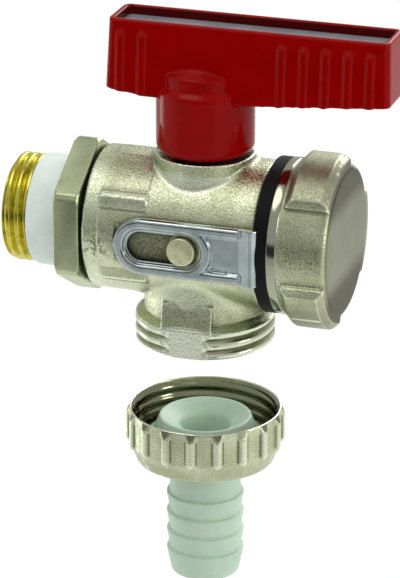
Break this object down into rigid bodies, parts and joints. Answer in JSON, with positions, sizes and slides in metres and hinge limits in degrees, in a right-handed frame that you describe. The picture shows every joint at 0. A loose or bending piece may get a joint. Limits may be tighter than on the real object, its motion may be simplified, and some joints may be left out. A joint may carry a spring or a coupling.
{
  "type": "drain cock",
  "caption": "Ball-type drain cock with a T-lever, threaded inlet with sealing ring, side cap on a slotted strap, and a hose union below the outlet.",
  "frame": {"origin": "centre of the inlet thread's end face", "axes": "+X along the flow axis into the valve, +Z along the stem towards the lever"},
  "size_m": [0.0752, 0.0326, 0.113],
  "materials": {
    "nickel": "nickel-plated forging, fine cast grain, turned faces polished",
    "ptfe": "white self-sealing ring",
    "chromed": "polished",
    "brass": "turned",
    "rubber": "moulded",
    "red": "glossy moulding",
    "grey": "plain strip",
    "steel": "stamped, polished",
    "tail": "moulded"
  },
  "bodies": {
    "valve": {"valve_body": "nickel", "inlet_connector": "nickel", "sealing_ring": "ptfe", "body_seal": "rubber", "inlet_seat": "ptfe", "port_seat": "ptfe", "stem_washer": "ptfe", "strap_pin": "brass"},
    "lever": {"handle": "red", "handle_plate": "grey", "handle_screw": "steel", "stem": "brass", "stem_o_rings": "rubber", "ball": "chromed"},
    "tether": {"strap": "steel", "grommet": "rubber"},
    "hand_cap": {"cap": "nickel", "cap_gasket": "rubber"},
    "tail": {"hose_tail": "tail"},
    "nut": {"union_nut": "nickel"}
  },
  "joints": [
    {"name": "handle_turn", "type": "hinge", "parent": "valve", "child": "lever", "pos_m": [0.0379, 0, 0], "axis": [0, 0, 1], "range_deg": [0, 90]},
    {"name": "cap_travel", "type": "slide", "parent": "valve", "child": "tether", "axis": [1, 0, 0], "range_m": [0, 0.008]},
    {"name": "cap_turn", "type": "hinge", "parent": "tether", "child": "hand_cap", "pos_m": [0.0379, 0, 0], "axis": [1, 0, 0], "range_deg": [0, 1296]},
    {"name": "union_lift", "type": "slide", "parent": "valve", "child": "tail", "axis": [0, 0, 1], "range_m": [0, 0.02]},
    {"name": "nut_turn", "type": "hinge", "parent": "tail", "child": "nut", "pos_m": [0.0379, 0, -0.042], "axis": [0, 0, 1], "continuous": true}
  ],
  "couplings": [
    {"joint": "cap_travel", "follows": "cap_turn", "m_per_rad": 0.00035157}
  ]
}
